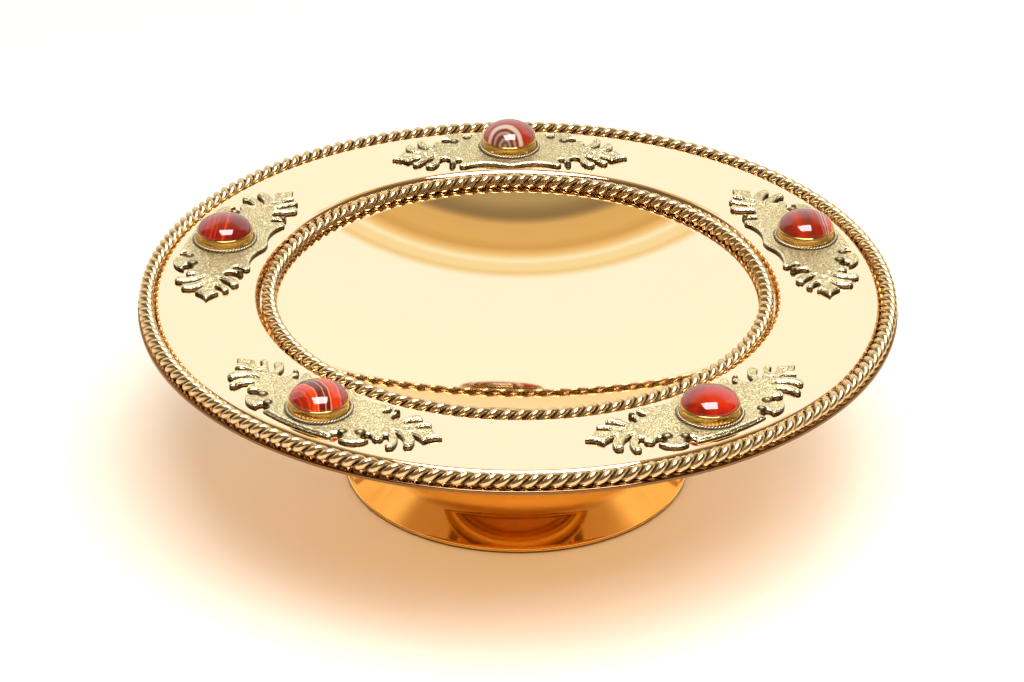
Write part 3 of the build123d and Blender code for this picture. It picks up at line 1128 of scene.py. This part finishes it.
@dataclass
class Studio:
    """Pale floor, soft surroundings, three lamps and the camera."""

    floor_half: float = 4.0
    floor_points: int = 33
    floor_colour: Colour = (0.9, 0.88, 0.84)
    camera_distance: float = 1239.9 * MM
    camera_elevation: float = 28.11
    camera_roll: float = -0.3818
    aim: Colour = (-1.8 * MM, -8.4 * MM, 51.7 * MM)
    lens: float = 132.2
    sensor: float = 36.0
    clip: tuple[float, float] = (0.05, 50.0)
    backdrop_cosine: float = 0.30
    backdrop_sharpness: float = 5.0
    lamps: tuple[Lamp, ...] = (
        Lamp("front_softbox", (11.0, 2.0), 1.3, (0.8, 0.8), 30.0, diffuse=False),
        Lamp("overhead_fill", (16.5, 8.0), 1.6, (1.4, 1.4), 34.0, glossy=False),
        Lamp("low_glow", (70.0, 0.0), 1.2, (1.0, 0.5), 11.0, colour=(1.0, 0.5, 0.1), glossy=False))

    def floor(self) -> None:
        """A wide flat sheet: points (x, y, 0) on an even grid."""
        count = self.floor_points
        line = np.linspace(-self.floor_half, self.floor_half, count)
        x, y = np.meshgrid(line, line, indexing="ij")
        points = np.stack([x, y, 0 * x], -1)
        sheet = make_mesh("studio_floor", points, grid_faces(count, count, False, False))
        material, g = new_material("studio_paper")
        here = g.here()
        grain = g.noise(here, 900.0, 3.0)
        tone = g.blend(g.math("MULTIPLY", grain, 0.12), self.floor_colour, (1.0, 1.0, 1.0))
        g.surface({"Base Color": tone, "Roughness": 0.7, "Specular IOR Level": 0.2})
        sheet.data.materials.append(material)

    def surroundings(self) -> None:
        """Light from all round, by direction: a bright backdrop, a warm dim ceiling and dim room elsewhere."""
        world = bpy.data.worlds.new("studio_light")
        bpy.context.scene.world = world
        world.use_nodes = True
        g = Graph(world.node_tree)
        way = g.add("ShaderNodeTexCoord").outputs["Generated"]
        parts = g.add("ShaderNodeSeparateXYZ", {0: way})
        height = g.math("ARCSINE", parts.outputs[2])
        up = g.math("DIVIDE", height, math.pi / 2)
        backdrop = g.ramp(up, [
            (0.0, (0.7, 0.62, 0.52)), (0.06, (1.3, 1.29, 1.25)), (0.5163, (1.3, 1.29, 1.25)),
            (0.5255, (1.05, 1.03, 0.78)), (0.5347, (0.97, 0.83, 0.46)), (0.5438, (1.04, 1.0, 0.62)),
            (0.5618, (1.05, 1.0, 0.68)), (0.5707, (1.22, 1.21, 1.0)), (0.5795, (1.01, 0.96, 0.6)),
            (0.5882, (0.97, 0.76, 0.36)), (0.5969, (0.87, 0.62, 0.25)), (0.6055, (0.75, 0.5, 0.18)),
            (0.614, (0.76, 0.53, 0.19)), (0.6309, (0.82, 0.6, 0.22)), (0.6723, (0.79, 0.57, 0.23)),
            (0.6804, (0.55, 0.4, 0.17)), (0.6885, (0.36, 0.27, 0.13)), (0.6965, (0.3, 0.23, 0.12)),
            (0.7125, (0.36, 0.28, 0.14)), (0.7361, (0.5, 0.41, 0.2)), (0.77, (0.5, 0.4, 0.2)),
            (0.82, (0.34, 0.25, 0.14)), (1.0, (0.34, 0.26, 0.16)),
        ])
        room = g.ramp(up, [
            (0.0, (0.18, 0.12, 0.07)), (0.3, (0.2, 0.15, 0.1)), (0.6, (0.16, 0.11, 0.07)),
            (1.0, (0.34, 0.26, 0.16)),
        ])
        flat = g.math("SQRT", g.math("SUBTRACT", 1.0, g.math("MULTIPLY", parts.outputs[2], parts.outputs[2])))
        facing = g.math("DIVIDE", parts.outputs[1], g.math("MAXIMUM", flat, 0.001))
        behind = g.math("MULTIPLY_ADD", facing, self.backdrop_sharpness)
        behind.node.inputs[2].default_value = -self.backdrop_sharpness * self.backdrop_cosine
        behind.node.use_clamp = True
        back = g.add("ShaderNodeBackground", {"Color": g.blend(behind, room, backdrop), "Strength": 1.0})
        g.add("ShaderNodeOutputWorld", {"Surface": back.outputs[0]})

    def camera(self) -> None:
        """Camera on the front side, turned to the aim point and rolled a little."""
        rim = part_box("plate")[1].z
        e = math.radians(self.camera_elevation)
        eye = Vector((0, -self.camera_distance * math.cos(e), rim + self.camera_distance * math.sin(e)))
        data = bpy.data.cameras.new("camera")
        data.lens, data.sensor_width = self.lens, self.sensor
        data.clip_start, data.clip_end = self.clip
        rig = bpy.data.objects.new("camera", data)
        turn = (Vector(self.aim) - eye).to_track_quat("-Z", "Y").to_matrix()
        turn = turn @ Matrix.Rotation(math.radians(-self.camera_roll), 3, "Z")
        rig.matrix_world = Matrix.Translation(eye) @ turn.to_4x4()
        bpy.context.scene.collection.objects.link(rig)
        bpy.context.scene.camera = rig

    def build(self) -> None:
        """Set up everything that isn't part of the plate."""
        self.floor()
        self.surroundings()
        for lamp in self.lamps:
            lamp.build()
        self.camera()
        bpy.context.scene.view_settings.view_transform = "Standard"


AGATES = (
    BandedAgate("agate_diagonal", (
        (0.0, (0.22, 0.03, 0.014)), (0.14, (0.3, 0.04, 0.015)), (0.17, (0.52, 0.08, 0.016)),
        (0.19, (0.3, 0.035, 0.015)), (0.27, (0.36, 0.045, 0.014)), (0.3, (0.62, 0.12, 0.03)),
        (0.33, (0.42, 0.045, 0.012)), (0.37, (0.66, 0.11, 0.02)), (0.43, (0.6, 0.09, 0.016)),
        (0.455, (0.7, 0.33, 0.24)), (0.47, (0.2, 0.02, 0.016)), (0.53, (0.1, 0.012, 0.014)),
        (0.56, (0.16, 0.016, 0.016)), (0.575, (0.62, 0.36, 0.31)), (0.59, (0.12, 0.012, 0.014)),
        (0.64, (0.14, 0.014, 0.014)), (0.655, (0.7, 0.36, 0.27)), (0.675, (0.5, 0.07, 0.015)),
        (0.72, (0.62, 0.09, 0.014)), (0.79, (0.52, 0.07, 0.014)), (0.81, (0.62, 0.24, 0.18)),
        (0.83, (0.34, 0.04, 0.02)), (0.9, (0.3, 0.06, 0.04)), (1.0, (0.22, 0.07, 0.055))),
        seed=(-0.0072, -0.006, 0.0), stretch=(1.0, 0.92, 1.15), spread=0.018, wobble=0.0016),
    BandedAgate("agate_clouded", (
        (0.0, (0.5, 0.04, 0.01)), (0.3, (0.58, 0.06, 0.012)), (0.5, (0.34, 0.02, 0.01)),
        (0.7, (0.24, 0.018, 0.012)), (0.78, (0.26, 0.06, 0.055)), (0.86, (0.3, 0.11, 0.11)),
        (1.0, (0.26, 0.08, 0.08))),
        seed=(0.003, -0.003, 0.0035), stretch=(0.8, 1.1, 1.0), spread=0.012, wobble=0.0042, wobble_scale=230.0,
        cloud=(0.66, 0.14, 0.03), cloudiness=0.42, depth=1.75),
    BandedAgate("agate_striped", (
        (0.0, (0.2, 0.05, 0.04)), (0.18, (0.26, 0.03, 0.018)), (0.3, (0.44, 0.06, 0.018)),
        (0.4, (0.34, 0.035, 0.016)), (0.47, (0.2, 0.045, 0.04)), (0.53, (0.17, 0.04, 0.036)),
        (0.58, (0.34, 0.028, 0.014)), (0.7, (0.3, 0.024, 0.014)), (0.735, (0.4, 0.2, 0.2)),
        (0.76, (0.24, 0.06, 0.07)), (0.785, (0.6, 0.4, 0.38)), (0.81, (0.2, 0.04, 0.05)),
        (0.84, (0.66, 0.44, 0.4)), (0.865, (0.52, 0.09, 0.03)), (0.92, (0.58, 0.12, 0.04)),
        (1.0, (0.5, 0.09, 0.03))),
        seed=(-0.0092, 0.0, 0.0), stretch=(1.0, 0.22, 0.1), spread=0.0184,
        banding=Banding.SHEETS, wobble=0.0014),
    BandedAgate("agate_arched", (
        (0.0, (0.36, 0.35, 0.33)), (0.1, (0.1, 0.085, 0.075)), (0.16, (0.4, 0.39, 0.38)),
        (0.22, (0.09, 0.05, 0.04)), (0.28, (0.26, 0.11, 0.08)), (0.33, (0.46, 0.43, 0.41)),
        (0.38, (0.14, 0.07, 0.06)), (0.43, (0.22, 0.06, 0.05)), (0.48, (0.62, 0.58, 0.54)),
        (0.56, (0.58, 0.52, 0.48)), (0.6, (0.3, 0.05, 0.035)), (0.72, (0.42, 0.07, 0.03)),
        (0.86, (0.36, 0.06, 0.035)), (1.0, (0.24, 0.07, 0.06))),
        seed=(-0.0016, -0.0088, 0.0002), stretch=(1.3, 1.0, 0.95), spread=0.015, wobble=0.0014),
    BandedAgate("agate_fine_lined", (
        (0.0, (0.24, 0.016, 0.012)), (0.17, (0.34, 0.022, 0.013)), (0.19, (0.46, 0.1, 0.05)),
        (0.21, (0.34, 0.022, 0.013)), (0.27, (0.36, 0.024, 0.013)), (0.29, (0.5, 0.12, 0.06)),
        (0.31, (0.34, 0.022, 0.013)), (0.35, (0.34, 0.022, 0.013)), (0.365, (0.46, 0.1, 0.05)),
        (0.38, (0.3, 0.018, 0.012)), (0.5, (0.34, 0.02, 0.012)), (0.53, (0.52, 0.13, 0.07)),
        (0.56, (0.4, 0.03, 0.015)), (0.6, (0.24, 0.014, 0.012)), (0.75, (0.2, 0.012, 0.012)),
        (1.0, (0.16, 0.014, 0.014))),
        seed=(-0.0094, 0.0, 0.0), stretch=(1.0, -0.05, -0.28), spread=0.018,
        banding=Banding.SHEETS, wobble=0.0012),
)


def build_plaques(settings: list[Setting], finish: StippledBrass) -> None:
    """Cast the plaque once and lay a copy at every station.

    Args:
        settings: The stone stations.
        finish: Finish of the castings.
    """
    plaque = Plaque()
    first = settings[0]
    node = f"plaque_{first.number}"
    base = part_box(node)[0].z
    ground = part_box(f"setting_cup_{first.number}")[0].z
    border = plaque.outline(node, first.angle, first.centre)
    points, edge, quads = plaque.relief(border, ground - base)
    points, quads, edge = plaque.shell(points, quads, edge)
    material = finish.build()
    for one in settings:
        turn = one.angle - math.pi / 2
        c, s = math.cos(turn), math.sin(turn)
        placed = np.column_stack([
            points[:, 0] * c - points[:, 1] * s + one.centre[0],
            points[:, 0] * s + points[:, 1] * c + one.centre[1],
            points[:, 2] + base])
        piece = make_mesh(f"leaf_plaque_{one.number}", placed, quads)
        add_attribute(piece, "edge", edge)
        finish_piece(piece, material, "casting_brass", f"plaque_{one.number}")


def dress_node(node: str, material: bpy.types.Material) -> None:
    """Give a model node that stays in view its material.

    Args:
        node: Name of the node.
        material: Its material.
    """
    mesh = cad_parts[node].data
    mesh.materials.clear()
    mesh.materials.append(material)
    LOG.info("%s: dressed", node)


def main() -> None:
    """Build the plate from the foot up, then the studio."""
    logging.basicConfig(level=logging.INFO, format="%(name)s %(message)s")
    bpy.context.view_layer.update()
    # Outside rim_radius the plate's edge under the outer rope is darkened as painted shade.
    plate_brass = PolishedBrass("plate_brass", (0.93, 0.71, 0.5), (0.92, 0.69, 0.48), roughness=0.02,
                                haze=0.035, rim_radius=124.1 * MM)
    # The foot gets painted shade: darker towards the neck for the shaded underside it reflects, and a thin dark
    # line at the bottom of the lip for its contact shadow.
    foot_brass = PolishedBrass("foot_brass", (0.84, 0.52, 0.15), (0.82, 0.49, 0.13), roughness=0.04,
                               core_radius=45.5 * MM, core_shade_colour=(0.5, 0.22, 0.03), base_line=0.95 * MM)
    rope_brass = GroovedBrass("rope_brass", (0.64, 0.48, 0.26), (0.12, 0.06, 0.02), roughness=0.24)
    bead_brass = GroovedBrass("bead_brass", (0.92, 0.84, 0.62), (0.1, 0.06, 0.03), roughness=0.2)
    collar_brass = PolishedBrass("collar_brass", (0.86, 0.64, 0.25), (0.5, 0.29, 0.08), roughness=0.07,
                                 haze=0.12)
    post_brass = PolishedBrass("fastener_brass", (0.8, 0.62, 0.3), (0.66, 0.47, 0.2), roughness=0.18)
    casting = StippledBrass("casting_brass", (0.88, 0.78, 0.51), (0.95, 0.86, 0.6), (0.33, 0.25, 0.11))

    Foot(foot_brass).build()
    Plate(plate_brass).build()
    TwistedRing("outer_rope", "rope_brass", turns=88).build("outer_rope_strands", rope_brass)
    TwistedRing("inner_rope", "rope_brass", turns=60).build("inner_rope_strands", rope_brass)

    settings = []
    for number in range(1, 6):
        low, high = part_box(f"stone_{number}")
        centre = (low + high) / 2
        centre.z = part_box(f"bezel_collar_{number}")[1].z
        settings.append(Setting(number, math.atan2(centre.y, centre.x), centre))
    build_plaques(settings, casting)
    collar = collar_brass.build()
    for one, agate in zip(settings, AGATES):
        one.build(collar, bead_brass, agate.build(one.centre))
        dress_node(f"setting_cup_{one.number}", collar)
    post = post_brass.build()
    for node in ("setting_posts", "post_washers", "post_nuts"):
        dress_node(node, post)

    Studio().build()


if __name__ == "__main__":
    main()
